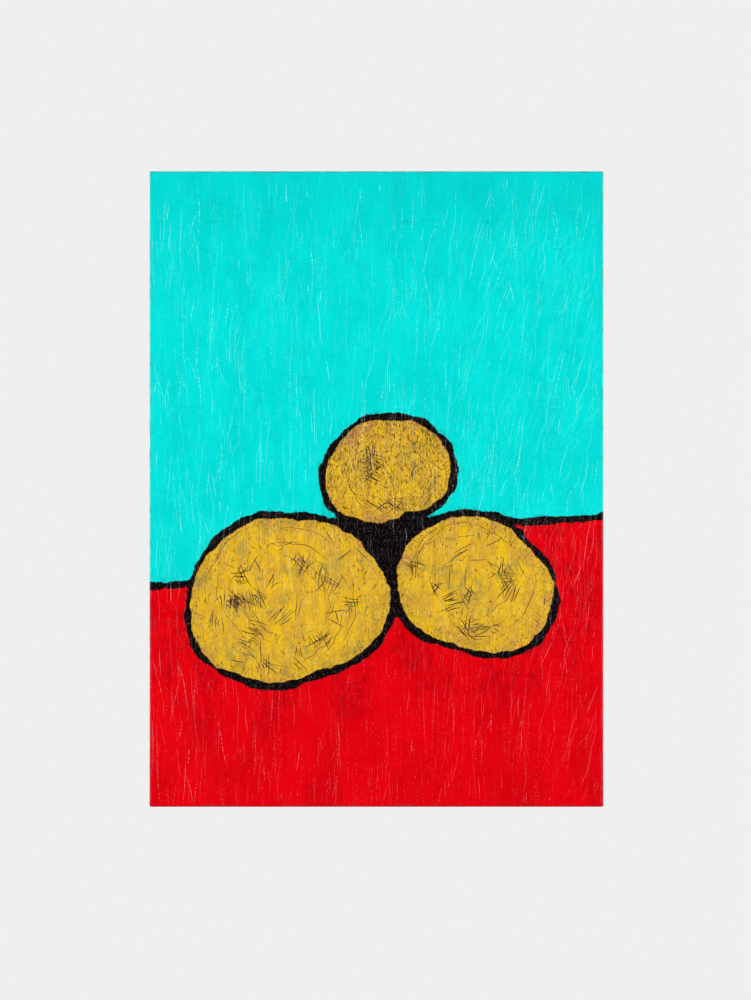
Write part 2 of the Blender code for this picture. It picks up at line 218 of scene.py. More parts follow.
def picture_distances(x, z):
    """Distances to the black lines, the nearest stone and the slope; negative is inside or below.

    The black shapes are joined by a smooth minimum, which rounds the tips where they meet.
    """
    half = LINE_WIDTH / 2
    stones = stone_distances(x, z)
    stone = np.minimum.reduce(stones)
    slope = slope_distance(x, z)
    rings = [np.abs(distance) - half for distance in stones]
    line = np.maximum(np.abs(slope) - half, -stone)
    hollow = np.maximum(hollow_distance(x, z), -stone)
    black = sum(np.exp(-distance / INK_PULL) for distance in (*rings, line, hollow))
    return -INK_PULL * np.log(np.maximum(black, LEAST_INK)), stone, slope


# Node graphs


class Graph:
    """Short calls that add nodes to one node tree."""

    def __init__(self, tree):
        self.tree = tree

    def feed(self, socket, value):
        if isinstance(value, bpy.types.NodeSocket):
            self.tree.links.new(value, socket)
        else:
            socket.default_value = value

    def node(self, kind, inputs=None, **settings):
        item = self.tree.nodes.new(kind)
        for key, value in settings.items():
            setattr(item, key, value)
        for key, value in (inputs or {}).items():
            self.feed(item.inputs[key], value)
        return item

    def math(self, operation, *values):
        return self.node("ShaderNodeMath", dict(enumerate(values)), operation=operation).outputs[0]

    def times(self, a, b):
        return self.math("MULTIPLY", a, b)

    def axis(self, vector, number):
        return self.node("ShaderNodeSeparateXYZ", {0: vector}).outputs[number]

    def vector_math(self, operation, a, b):
        return self.node("ShaderNodeVectorMath", {0: a, 1: b}, operation=operation).outputs[0]

    def scaled(self, vector, scale):
        return self.vector_math("MULTIPLY", vector, scale)

    def shifted(self, vector, offset):
        return self.vector_math("ADD", vector, offset)

    def noise(self, vector, scale, detail=2.0, roughness=0.5, distortion=0.0):
        names = ("Vector", "Scale", "Detail", "Roughness", "Distortion")
        values = (vector, scale, detail, roughness, distortion)
        return self.node("ShaderNodeTexNoise", dict(zip(names, values))).outputs[0]

    def grain(self, place, across, down, detail=2.0, roughness=0.5, start=None, distortion=0.0):
        """Noise with its own fineness, per metre, across the picture and down it."""
        if start:
            place = self.shifted(place, (start[0], 0.0, start[1]))
        return self.noise(self.scaled(place, (across, 1.0, down)), 1.0, detail, roughness, distortion)

    def span(self, value, low, high, start=0.0, stop=1.0):
        """A smooth step from start to stop while the value goes from low to high."""
        inputs = {"Value": value, "From Min": low, "From Max": high, "To Min": start, "To Max": stop}
        return self.node("ShaderNodeMapRange", inputs, interpolation_type="SMOOTHSTEP").outputs[0]

    def blend(self, factor, a, b):
        """Mix two colours."""
        return self.node("ShaderNodeMix", {0: factor, 6: a, 7: b}, data_type="RGBA").outputs[2]

    def coated(self, base, *coats):
        """Lay colours over a base in turn, each given as its tint, where it covers and how strongly."""
        for tint, cover, strength in coats:
            base = self.blend(self.times(cover, strength), base, color(*tint))
        return base

    def attribute(self, name):
        return self.node("ShaderNodeAttribute", attribute_name=name).outputs["Fac"]

    def place(self):
        """Position in metres, which goes with the piece."""
        return self.node("ShaderNodeTexCoord").outputs["Object"]

    def bump(self, height, distance, strength=1.0, normal=None):
        inputs = {"Height": height, "Distance": distance, "Strength": strength}
        if normal is not None:
            inputs["Normal"] = normal
        return self.node("ShaderNodeBump", inputs).outputs[0]


def color(red, green, blue):
    return (red, green, blue, 1.0)


def new_material(name):
    """An empty material, its graph and its shader."""
    material = bpy.data.materials.new(name)
    material.use_nodes = True
    return material, Graph(material.node_tree), material.node_tree.nodes["Principled BSDF"]


def connect(graph, shader, **values):
    """Feed the shader's sockets; a name's underscores stand for blanks."""
    for key, value in values.items():
        graph.feed(shader.inputs[key.replace("_", " ")], value)


# Paint


def thread_tip_glints(graph, place):
    """Painted glints: pale dots on the tips of the cloth's threads under the paint, in broken rows that run
    down the paint.
    """
    tips = graph.grain(place, 880, 560, 1)
    rows = graph.grain(place, 330, 16, 2)
    return graph.times(graph.span(tips, 0.6, 0.67), graph.span(rows, 0.5, 0.62))


def smudge(graph, place, edge):
    """How much of the black line's colour is dragged out over the field beside it."""
    patches = graph.grain(place, 70, 45, 5, 0.7, start=(2.2, 9.1))
    return graph.times(graph.span(patches, 0.5, 0.66), graph.span(edge, 0.006, 0.0))


def turquoise_layer(graph, place, edge):
    """Smooth and bright, with painted glints in dotted rows and a few dull blots, most of them near the top.
    """
    streaks = graph.grain(place, 900, 60, 3)
    clouds = graph.grain(place, 30, 14, 4, 0.6)
    tone = graph.span(graph.math("ADD", graph.times(streaks, 0.6), clouds), 0.55, 1.05)
    base = graph.blend(tone, color(0.0002, 0.69, 0.65), color(0.001, 0.79, 0.745))
    height = graph.axis(place, 2)
    upper = graph.times(graph.span(height, 0.2, 0.345), graph.span(clouds, 0.3, 0.55, 1.0, 0.5))
    spots = graph.grain(place, 26, 60, 6, 0.75, start=(3.1, 1.7))
    spots = graph.times(graph.span(spots, 0.57, 0.72), graph.span(height, 0.2, 0.33, 0.3, 0.8))
    mesh = graph.span(graph.grain(place, 300, 1100, 2, 0.6), 0.35, 0.6)
    return graph.coated(
        base,
        ((0.0002, 0.6, 0.575), upper, 0.6),
        ((0.001, 0.4, 0.39), spots, mesh),
        ((0.012, 0.11, 0.11), smudge(graph, place, edge), 0.55),
        ((0.25, 1.0, 1.0), thread_tip_glints(graph, place), 0.16),
    )


def red_layer(graph, place, line, edge):
    """Deep red, with darker clouds, fine dark mottling round the outlines and painted glints in dotted rows.
    """
    streaks = graph.span(graph.grain(place, 700, 45, 3), 0.35, 0.65)
    base = graph.blend(streaks, color(0.765, 0.0001, 0.0042), color(0.85, 0.0002, 0.0048))
    clouds = graph.grain(place, 22, 11, 4, 0.6, start=(4.7, 1.2))
    base = graph.blend(graph.span(clouds, 0.42, 0.66, 0.0, 0.75), base, color(0.64, 0.0001, 0.0036))
    mottle = graph.grain(place, 190, 75, 4, 0.65, start=(0.7, 4.2))
    near = graph.span(line, 0.085, 0.004, 0.1, 1.0)
    shade = graph.times(graph.span(mottle, 0.44, 0.66), graph.span(clouds, 0.36, 0.56))
    return graph.coated(
        base,
        ((0.47, 0.0002, 0.005), shade, near),
        ((0.11, 0.002, 0.006), smudge(graph, place, edge), 0.4),
        ((1.0, 0.42, 0.46), thread_tip_glints(graph, place), 0.12),
    )


def ochre_layer(graph, place, line):
    """Yellow over tan, streaked downwards, with moss, blush and ground-in dark grain."""
    height = graph.axis(place, 2)
    worn = graph.span(height, -0.045, 0.045, 0.55, 1.0)
    clouds = graph.span(graph.grain(place, 95, 32, 5, 0.62, start=(1.9, 0.3)), 0.38, 0.6)
    base = graph.blend(clouds, color(0.88, 0.525, 0.01), color(0.7, 0.385, 0.03))
    streaks = graph.grain(place, 650, 70, 4, 0.6)
    base = graph.blend(graph.span(streaks, 0.52, 0.66, 0.0, 0.75), base, color(0.93, 0.64, 0.12))
    moss = graph.span(graph.noise(graph.shifted(place, (5.2, 0.0, 2.2)), 42, 6, 0.75), 0.5, 0.68)
    blush = graph.span(graph.noise(graph.shifted(place, (8.4, 0.0, 6.1)), 48, 5, 0.7), 0.5, 0.66)
    blush = graph.times(blush, graph.span(line, 0.02, 0.002))
    dark = graph.grain(place, 760, 210, 3, 0.65)
    ground = graph.noise(graph.shifted(place, (7.7, 0.0, 3.6)), 30, 4, 0.6)
    dark = graph.times(graph.span(dark, 0.53, 0.66), graph.span(ground, 0.38, 0.6, 0.25, 1.0))
    flecks = graph.grain(place, 520, 200, 3, 0.65, start=(0.9, 5.5), distortion=1.1)
    higher = graph.span(height, -0.06, 0.03, 0.1, 1.0)
    flecks = graph.times(graph.span(flecks, 0.525, 0.6), higher)
    grime = graph.grain(place, 420, 260, 5, 0.75)
    grime = graph.times(graph.span(grime, 0.48, 0.66), graph.span(line, 0.022, 0.0))
    dots = graph.span(graph.noise(place, 620, 2, 0.6), 0.64, 0.74)
    return graph.coated(
        base,
        ((0.33, 0.29, 0.06), moss, 0.65),
        ((0.56, 0.19, 0.11), blush, 0.6),
        ((0.2, 0.12, 0.028), dark, worn),
        ((0.09, 0.055, 0.02), flecks, 0.88),
        ((0.05, 0.034, 0.018), grime, 0.85),
        ((0.1, 0.062, 0.026), dots, 0.75),
    )


def black_layer(graph, place):
    """Near black, dragged thin in places so that charcoal grey shows."""
    scuffs = graph.span(graph.grain(place, 520, 200, 5, 0.7), 0.52, 0.7)
    base = graph.blend(scuffs, color(0.0028, 0.0012, 0.0016), color(0.062, 0.046, 0.044))
    glints = graph.span(graph.noise(graph.shifted(place, (6.6, 0.0, 0.4)), 700, 2, 0.6), 0.66, 0.76)
    return graph.coated(base, ((0.6, 0.52, 0.5), glints, 0.3))


def pick(graph, slope, stone, edge, choices):
    """One of four values by the part of the picture: red, turquoise, ochre or black."""
    red, turquoise, ochre, black = choices
    field = graph.blend(graph.span(slope, -0.0005, 0.0005), red, turquoise)
    inside = graph.blend(graph.span(stone, 0.0005, -0.0005), field, ochre)
    return graph.blend(graph.span(edge, 0.0004, -0.0004), inside, black)


def make_paint_group():
    """The picture's colours, its creases' painted highlight colour, roughness and fine relief, by place."""
    group = bpy.data.node_groups.new("picture_paint", "ShaderNodeTree")
    for name, kind in (("Color", "Color"), ("Crease", "Color"), ("Roughness", "Float"), ("Height", "Float")):
        group.interface.new_socket(name, in_out="OUTPUT", socket_type="NodeSocket" + kind)
    graph = Graph(group)
    place = graph.place()
    line = graph.attribute("line_distance")
    stone = graph.attribute("stone_distance")
    slope = graph.attribute("slope_distance")

    wander = graph.times(graph.math("SUBTRACT", graph.noise(place, 55, 2), 0.5), 0.01)
    ragged = graph.times(graph.math("SUBTRACT", graph.noise(place, 480, 4, 0.75), 0.5), 0.004)
    edge = graph.math("ADD", line, graph.math("ADD", wander, ragged))

    layers = (
        red_layer(graph, place, line, edge),
        turquoise_layer(graph, place, edge),
        ochre_layer(graph, place, line),
        black_layer(graph, place),
    )
    tint = pick(graph, slope, stone, edge, layers)
    # Painted highlight colour of the creases' ridges, by the part of the picture
    crease = pick(graph, slope, stone, edge, CREASE_HIGHLIGHTS)
    # A dark rim along the four edges, mottled: partly painted shade where the paint rolls over the edge,
    # partly grime
    rims = [
        graph.span(graph.math("ABSOLUTE", graph.axis(place, number)), half - RIM_WIDTH, half)
        for number, half in ((0, HALF_X), (2, HALF_Z))
    ]
    worn = graph.span(graph.noise(place, 60, 4, 0.7), 0.45, 0.68)
    rim = graph.times(graph.math("MAXIMUM", *rims), worn)
    tint = graph.coated(tint, ((0.05, 0.05, 0.08), rim, EDGE_SHADE_AND_GRIME))

    fine = graph.noise(place, 900, 3, 0.6)
    brush = graph.grain(place, 1100, 90, 3, 0.6)
    height = graph.math("ADD", graph.times(brush, 0.7), graph.times(fine, 0.3))
    rough = graph.span(graph.noise(place, 120, 3), 0.3, 0.7, 0.17, 0.28)

    outputs = {"Color": tint, "Crease": crease, "Roughness": rough, "Height": height}
    graph.node("NodeGroupOutput", outputs).is_active_output = True
    return group


def weave_height(graph, place):
    """Plain weave: the two sets of threads pass over each other in turn."""
    rate = math.pi / WEAVE_PITCH
    waves = [graph.math("SINE", graph.times(graph.axis(place, number), rate)) for number in (0, 2)]
    over = graph.math("MULTIPLY_ADD", graph.times(*waves), 0.5, 0.5)
    under = graph.math("SUBTRACT", 1.0, over)
    across, along = [graph.math("ABSOLUTE", wave) for wave in waves]
    return graph.math("ADD", graph.times(across, over), graph.times(along, under))


def make_paint(group):
    material, graph, shader = new_material("acrylic_paint")
    paint = graph.node("ShaderNodeGroup", node_tree=group).outputs
    normal = graph.bump(weave_height(graph, graph.place()), 0.00005, 0.35)
    normal = graph.bump(paint["Height"], 0.00025, 0.6, normal)
    connect(graph, shader, Base_Color=paint["Color"], Roughness=paint["Roughness"], Normal=normal)
    connect(graph, shader, Specular_IOR_Level=PAINT_SPECULAR)
    return material


def make_crease_paint(group):
    """The paint on its raised creases, paled by a painted highlight in lines or rows of dots."""
    material, graph, shader = new_material("crease_highlight_paint")
    paint = graph.node("ShaderNodeGroup", node_tree=group).outputs
    dots = graph.span(graph.grain(graph.place(), 700, 430, 1), 0.46, 0.58)
    gaps = graph.times(graph.attribute("broken"), graph.math("SUBTRACT", 1.0, dots))
    light = graph.times(graph.attribute("strength"), graph.math("SUBTRACT", 1.0, gaps))
    # Painted highlight: the crease paint is paled towards its highlight colour
    tint = graph.blend(light, paint["Color"], paint["Crease"])
    connect(graph, shader, Base_Color=tint, Roughness=paint["Roughness"], Specular_IOR_Level=PAINT_SPECULAR)
    return material


def make_scratch_paint():
    """Dark underpaint that shows in scratches, from near black through mauve to olive."""
    material, graph, shader = new_material("scratched_paint")
    tone = graph.attribute("strength")
    mauve, olive = graph.span(tone, 0.3, 0.45), graph.span(tone, 0.6, 0.75)
    base = graph.blend(mauve, color(0.01, 0.006, 0.005), color(0.085, 0.03, 0.03))
    base = graph.blend(olive, base, color(0.095, 0.08, 0.02))
    worn = graph.span(graph.noise(graph.place(), 420, 3), 0.52, 0.68)
    tint = graph.coated(base, ((0.48, 0.29, 0.045), worn, 0.25))
    connect(graph, shader, Base_Color=tint, Roughness=0.55, Specular_IOR_Level=0.2)
    return material


# Cloth, wood and steel


def make_cloth():
    """Cotton duck: white primer outside, bare cotton inside and along the cut edge."""
    material, graph, shader = new_material("cotton_duck")
    cut = graph.node("ShaderNodeAttribute", attribute_name="cut_place").outputs["Vector"]
    place = graph.place()

    slubs = graph.math("ADD", graph.grain(cut, 60, 1500), graph.grain(cut, 1500, 60))
    shade = graph.span(slubs, 0.8, 1.2)
    cotton = graph.blend(shade, color(0.56, 0.5, 0.395), color(0.7, 0.64, 0.52))
    flecks = graph.span(graph.noise(cut, 700, 2, 0.6), 0.7, 0.78)
    cotton = graph.coated(cotton, ((0.3, 0.22, 0.13), flecks, 0.6))

    dust = graph.span(graph.noise(place, 30, 4, 0.65), 0.4, 0.75)
    primer = graph.coated(color(0.77, 0.755, 0.712), ((0.61, 0.578, 0.51), dust, 0.35))
    ragged = graph.math("MULTIPLY_ADD", graph.noise(place, 160, 4, 0.7), 0.6, -0.3)
    coat = graph.span(graph.math("ADD", graph.attribute("primed"), ragged), 0.42, 0.58)
    tint = graph.blend(coat, cotton, primer)

    relief = graph.math("ADD", weave_height(graph, cut), graph.times(slubs, 0.6))
    normal = graph.bump(relief, 0.0002, graph.span(coat, 0.0, 1.0, 0.85, 0.4))
    rough = graph.span(coat, 0.0, 1.0, 0.92, 0.62)
    connect(graph, shader, Base_Color=tint, Roughness=rough, Normal=normal, Specular_IOR_Level=0.25)
    return material


def make_wood(name, along, light, dark, ring_scale):
    """Sawn wood whose grain runs along one axis: 0 for x, 2 for z."""
    material, graph, shader = new_material(name)
    place = graph.place()
    stretch = [1.0, 1.0, 1.0]
    stretch[along] = 0.05
    bends = [3.0, 3.0, 3.0]
    bends[along] = 0.9
    lengthwise = graph.scaled(place, stretch)
    bend = graph.noise(graph.scaled(place, bends), 9, 2)
    warp = graph.node("ShaderNodeVectorMath", {0: (0.012, 0.012, 0.012), 3: bend}, operation="SCALE")
    rings = graph.noise(graph.shifted(lengthwise, warp.outputs[0]), ring_scale, 1, 0.4, 0.6)
    bands = graph.math("FRACT", graph.times(rings, 9.0))
    late = graph.times(graph.span(bands, 0.55, 0.95), graph.span(bands, 1.0, 0.96))
    fibres = graph.noise(lengthwise, 2600, 3, 0.7)
    tint = graph.coated(color(*light), (dark, late, 0.75), (dark, graph.span(fibres, 0.5, 0.75), 0.35))
    clouds = graph.span(graph.noise(place, 16, 3), 0.35, 0.75, 0.0, 0.22)
    tint = graph.blend(clouds, tint, color(*dark))
    normal = graph.bump(graph.math("ADD", fibres, graph.times(late, -0.5)), 0.00018, 0.5)
    rough = graph.span(fibres, 0.3, 0.7, 0.5, 0.72)
    connect(graph, shader, Base_Color=tint, Roughness=rough, Normal=normal, Specular_IOR_Level=0.35)
    return material


def make_steel():
    """Galvanised staple wire, lightly scuffed by the gun."""
    material, graph, shader = new_material("staple_wire")
    scuffs = graph.noise(graph.place(), 1500, 3, 0.6)
    tint = graph.blend(graph.span(scuffs, 0.35, 0.7), color(0.4, 0.4, 0.41), color(0.25, 0.25, 0.26))
    rough = graph.span(scuffs, 0.3, 0.7, 0.46, 0.62)
    normal = graph.bump(scuffs, 0.00005, 0.4)
    connect(graph, shader, Base_Color=tint, Roughness=rough, Normal=normal, Metallic=0.85)
    return material


# Pieces


def add_object(name, data):
    item = bpy.data.objects.new(name, data)
    bpy.context.scene.collection.objects.link(item)
    return item


def new_piece(name, vertices, faces, material, values):
    """A closed mesh that rides on the root body, with its own numbers or vectors at each vertex."""
    mesh = bpy.data.meshes.new(name)
    mesh.from_pydata([tuple(vertex) for vertex in vertices], [], faces)
    for key, numbers in values.items():
        numbers = np.asarray(numbers, dtype=np.float32)
        kind, field = ("FLOAT", "value") if numbers.ndim == 1 else ("FLOAT_VECTOR", "vector")
        mesh.attributes.new(key, kind, "POINT").data.foreach_set(field, numbers.ravel())
    bm = bmesh.new()
    bm.from_mesh(mesh)
    bmesh.ops.recalc_face_normals(bm, faces=bm.faces)
    bm.to_mesh(mesh)
    bm.free()
    mesh.materials.append(material)
    mesh.shade_smooth()
    piece = add_object(name, mesh)
    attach(piece, "root")
    return piece


def picture_values(vertices):
    """The picture's distances at each vertex, under the names that the paint reads."""
    spots = np.array(vertices)
    line, stone, slope = picture_distances(spots[:, 0], spots[:, 2])
    return {"line_distance": line, "stone_distance": stone, "slope_distance": slope}


def border_of(columns, rows):
    """Grid places round the edge, in order, each with its outward direction."""
    loop = [(i, 0) for i in range(columns)]
    loop += [(columns, j) for j in range(rows)]
    loop += [(i, rows) for i in range(columns, 0, -1)]
    loop += [(0, j) for j in range(rows, 0, -1)]
    return [(i, j, (i == columns) - (i == 0), (j == rows) - (j == 0)) for i, j in loop]


def grid_faces(columns, rows, first=0):
    """Four-sided faces of a grid whose vertices are numbered row by row."""
    width = columns + 1
    faces = []
    for j in range(rows):
        for i in range(columns):
            a = first + j * width + i
            faces.append((a, a + 1, a + width + 1, a + width))
    return faces


def ring_faces(lower, upper):
    """Four-sided faces between two closed rings of vertex numbers."""
    count = len(lower)
    return [(lower[k], lower[(k + 1) % count], upper[(k + 1) % count], upper[k]) for k in range(count)]


def wavering(x, y, z, size):
    """Smooth noise from about -1 to 1 whose waves are the given size."""
    return noise.noise(Vector((x, y, z)) / size)


def unit(value):
    """The value, kept between 0 and 1."""
    return min(max(value, 0.0), 1.0)


# Paint film


def grid_step(value, half, count):
    """The grid step that a place falls in, and how far along it is."""
    steps = (np.clip(value, -half, half) + half) / (2 * half) * count
    whole = min(int(steps), count - 1)
    return whole, steps - whole


class Relief:
    """The painted surface as a grid of depths, which the creases and scratches follow."""

    def __init__(self):
        self.half_x = HALF_X - EDGE_RADIUS
        self.half_z = HALF_Z - EDGE_RADIUS
        self.columns = round(2 * self.half_x / PAINT_STEP)
        self.rows = round(2 * self.half_z / PAINT_STEP)
        self.xs = np.linspace(-self.half_x, self.half_x, self.columns + 1)
        self.zs = np.linspace(-self.half_z, self.half_z, self.rows + 1)
        grid_x, grid_z = np.meshgrid(self.xs, self.zs)
        line, stone, _ = picture_distances(grid_x, grid_z)
        ridge = np.clip((LINE_SHOULDER - line) / LINE_FALL, 0.0, 1.0)
        body = np.clip(-stone / STONE_FALL, 0.0, 1.0)
        swell = np.array([[self.brush_marks(x, z) for x in self.xs] for z in self.zs])
        self.depth = FIELD_Y + COAT - swell - LINE_RISE * LINE_SHARE * ridge - COAT * body

    @staticmethod
    def brush_marks(x, z):
        """Ripples drawn out downwards, over a broader swell."""
        ripples = 0.00006 * noise.noise(Vector((x / 0.005, z / 0.06, 0.0)))
        return ripples + 0.0001 * wavering(x, 3, z, 0.03)

    def at(self, x, z):
        """Depth of the painted surface at a place, between the grid's crossings."""
        i, a = grid_step(x, self.half_x, self.columns)
        j, b = grid_step(z, self.half_z, self.rows)
        low = self.depth[j, i] * (1 - a) + self.depth[j, i + 1] * a
        high = self.depth[j + 1, i] * (1 - a) + self.depth[j + 1, i + 1] * a
        return low * (1 - b) + high * b


def ragged_end(x, z):
    """How far back the paint reaches on the side at this place."""
    reach = WRAP + 0.0075 * wavering(x, 3, z, 0.085) + 0.003 * wavering(x, 5, z, 0.022)
    reach += 0.0014 * wavering(x, 9, z, 0.006)
    return CLOTH_FRONT_Y + min(max(reach, LEAST_WRAP), DEPTH - BARE_AT_BACK)


def build_paint_film(relief, material):
    """One skin of paint over the front, drawn round the edges and ended raggedly on the sides."""
    columns, rows = relief.columns, relief.rows
    vertices = [(x, relief.depth[j, i], z) for j, z in enumerate(relief.zs) for i, x in enumerate(relief.xs)]
    faces = grid_faces(columns, rows)
    border = border_of(columns, rows)
    fronts = [relief.depth[j, i] for i, j, _, _ in border]
    ends = [ragged_end(relief.xs[i], relief.zs[j]) for i, j, _, _ in border]
    radius = EDGE_RADIUS + PAINT_ON_SIDE
    buried = radius - PAINT_ON_SIDE - CLOTH / 2

    rings = []
    for step in range(1, FILM_BEND_STEPS + 1):
        angle = step / FILM_BEND_STEPS * math.pi / 2
        depths = [front + radius * (1 - math.cos(angle)) for front in fronts]
        rings.append((radius * math.sin(angle), depths))
    for share in (0.5, 0.92):
        depths = [(front + radius) * (1 - share) + end * share for front, end in zip(fronts, ends)]
        rings.append((radius, depths))
    rings.append((buried, ends))
    rings.append((buried, [CLOTH_FRONT_Y + CLOTH / 2] * len(border)))

    last = [j * (columns + 1) + i for i, j, _, _ in border]
    for out, depths in rings:
        ring = []
        for (i, j, across, up), y in zip(border, depths):
            reach = out * CORNER_SHARE if across and up and out > 0 else out
            ring.append(len(vertices))
            vertices.append((relief.xs[i] + across * reach, y, relief.zs[j] + up * reach))
        faces += ring_faces(last, ring)
        last = ring
    faces.append(tuple(last))

    film = new_piece("paint_film", vertices, faces, material, picture_values(vertices))
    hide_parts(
        "paint_turquoise", "paint_red", "paint_lines", "paint_stone_1", "paint_stone_2", "paint_stone_3"
    )


# Strips: creases and scratches that follow the painted surface


class Strips:
    """Collects low ridges, three-sided in section, that are sunk into the paint."""

    def __init__(self, relief, sink):
        self.relief = relief
        self.sink = sink
        self.vertices = []
        self.faces = []
        self.strengths = []
        self.breaks = []

    def add(self, path, width, rise, strength, broken=0.0):
        """A ridge along (x, z) places; it thins out towards both ends."""
        first = len(self.vertices)
        count = len(path)
        for k, (x, z) in enumerate(path):
            ax, az = path[max(k - 1, 0)]
            bx, bz = path[min(k + 1, count - 1)]
            length = math.hypot(bx - ax, bz - az)
            side_x, side_z = -(bz - az) / length, (bx - ax) / length
            share = math.sin(math.pi * (k + BLUNT_END) / (count - 1 + 2 * BLUNT_END)) ** 0.5
            half = width / 2 * share
            for way in (-1, 1):
                px, pz = x + way * half * side_x, z + way * half * side_z
                self.vertices.append((px, self.relief.at(px, pz) + self.sink, pz))
            self.vertices.append((x, self.relief.at(x, z) - rise * share, z))
            self.strengths += [strength] * 3
            self.breaks += [broken] * 3
        for k in range(count - 1):
            a = first + 3 * k
            b = a + 3
            self.faces += [(a, b, b + 2, a + 2), (a + 2, b + 2, b + 1, a + 1), (a + 1, b + 1, b, a)]
        end = first + 3 * (count - 1)
        self.faces += [(first, first + 2, first + 1), (end, end + 1, end + 2)]

    def build(self, name, material):
        values = {**picture_values(self.vertices), "strength": self.strengths, "broken": self.breaks}
        new_piece(name, self.vertices, self.faces, material, values)


def crease_lean(x, z):
    """Angle of the creases from upright: about straight at the left, leaning over at the right."""
    lean = 0.12 * wavering(x, 11, z, 0.085) + 0.04 * math.sin(9.0 * z)
    over = unit((x - 0.02) / 0.18)
    return lean + 0.48 * over * (0.6 + 0.4 * wavering(x, 21, z, 0.1))


def crease_path(x, z, length, bias, follow, seed):
    """Steps downwards from a place; follow is how far it takes up the creases' common lean."""
    path = [(x, z)]
    for k in range(int(length / CREASE_STEP)):
        sway = 0.27 + 0.25 * unit(x / 0.15)
        wander = sway * noise.noise(Vector((seed, k * 0.11, 0.0)))
        angle = follow * crease_lean(x, z) + bias + wander
        x -= CREASE_STEP * math.sin(angle)
        z -= CREASE_STEP * math.cos(angle)
        if abs(x) > HALF_X - EDGE_MARGIN or abs(z) > HALF_Z - EDGE_MARGIN:
            break
        path.append((x, z))
    return path


def crease_strength(draw, slope):
    """Strength of each crease's painted highlight: most are faint, a few nearly white; all are weaker in the
    red.
    """
    low, high = draw.choices(((0.06, 0.18), (0.18, 0.42), (0.42, 0.95)), weights=(55, 30, 15))[0]
    return draw.uniform(low, high) * (0.62 if slope < 0 else 1.0)


def build_creases(relief, material):
    """Fine raised creases that run down the paint, often in pairs that fork or meet."""
    draw = random.Random(23)
    strips = Strips(relief, CREASE_SINK)
    made = 0
    while made < CREASE_COUNT:
        x = draw.uniform(-HALF_X, HALF_X) * 0.99
        z = draw.uniform(-HALF_Z, HALF_Z) * 0.99
        slope = slope_distance(x, z)
        crowd = 0.3 + 0.7 * (0.5 + 0.5 * wavering(x, 31, z, 0.055)) + 0.5 * max(0.0, x / HALF_X)
        if draw.random() > crowd / (1.3 if slope > 0 else 2.3):
            continue
        length = draw.uniform(0.008, 0.03) if draw.random() < 0.62 else draw.uniform(0.03, 0.08)
        follow = 1.0 if draw.random() < 0.62 else 0.25
        path = crease_path(x, z, length, draw.gauss(0.0, 0.08), follow, made)
        if len(path) < 4:
            continue
        strength = crease_strength(draw, slope)
        broken = draw.choice((0.55, 0.8, 1.0, 1.0))
        width = draw.uniform(0.0005, 0.0008) + 0.0004 * strength
        rise = draw.uniform(0.00012, 0.0003)
        strips.add(path, width, rise, strength, broken)
        made += 1
        if draw.random() < 0.3 and len(path) > 8:
            fork = path[draw.randrange(2, len(path) - 4)]
            bias = draw.choice((-1, 1)) * draw.uniform(0.15, 0.45)
            branch = crease_path(*fork, length * draw.uniform(0.3, 0.8), bias, follow, made + 0.5)
            if len(branch) > 3:
                strips.add(branch, width * 0.9, rise * 0.8, strength, broken)
                made += 1
    strips.build("paint_creases", material)


def inside_stone(x, z, margin):
    return np.minimum.reduce(stone_distances(x, z)) < -margin


def around(center, reach, turn):
    """The place at a distance and a direction from a centre."""
    return center[0] + reach * math.cos(turn), center[1] + reach * math.sin(turn)


def anywhere_in(draw, center, mean):
    """A place drawn evenly from the circle of a stone's mean radius."""
    turn = draw.uniform(0, 2 * math.pi)
    return around(center, mean * math.sqrt(draw.random()), turn)


def moved(x, z, angle, along, across):
    """The place at a distance along a direction and another one to its left."""
    px = x + along * math.cos(angle) - across * math.sin(angle)
    pz = z + along * math.sin(angle) + across * math.cos(angle)
    return px, pz


def stroke(x, z, angle, length, curl):
    """A stroke through a place that turns by the curl, evenly, over its length."""
    count = max(3, round(length / STROKE_STEP) + 1)
    points = []
    for k in range(count):
        share = k / (count - 1) - 0.5
        across = curl * length * (share * share - 0.08) / 2
        points.append(moved(x, z, angle, share * length, across))
    return points


def add_hatching(strips, draw, middle, angle, count, tone):
    """Near-parallel strokes, side by side about a place."""
    pitch = draw.uniform(0.0018, 0.0042)
    for number in range(count):
        across = (number - (count - 1) / 2) * pitch + draw.gauss(0.0, 0.0007)
        along = draw.gauss(0.0, 0.003)
        place = moved(*middle, angle, along, across)
        length = draw.uniform(0.007, 0.027)
        path = stroke(*place, angle + draw.gauss(0.0, 0.15), length, draw.gauss(0.0, 0.3))
        if inside_stone(*path[0], HATCH_MARGIN) and inside_stone(*path[-1], HATCH_MARGIN):
            strips.add(path, draw.uniform(0.0009, 0.0015), HATCH_RISE, tone)


def add_curve(strips, draw, center, mean):
    """A long line that follows the stone's outline at a distance."""
    turn = draw.uniform(0, 2 * math.pi)
    reach = mean * draw.uniform(0.35, 0.88)
    sweep = draw.uniform(0.3, 1.3) * draw.choice((-1, 1))
    drift = draw.uniform(-0.1, 0.1) * mean
    seed = draw.uniform(0, 90)
    count = max(10, round(reach * abs(sweep) / CURVE_STEP))
    path = []
    for k in range(count + 1):
        share = k / count
        waver = 0.004 * noise.noise(Vector((seed, share * 3.5, 0.0)))
        place = around(center, reach + drift * share + waver, turn + sweep * share)
        if not inside_stone(*place, CURVE_MARGIN):
            break
        path.append(place)
    if len(path) > 8:
        tones = (BLACK_TONE, MAUVE_TONE, MAUVE_TONE)
        strips.add(path, draw.uniform(0.0006, 0.001), FINE_RISE, draw.choice(tones))


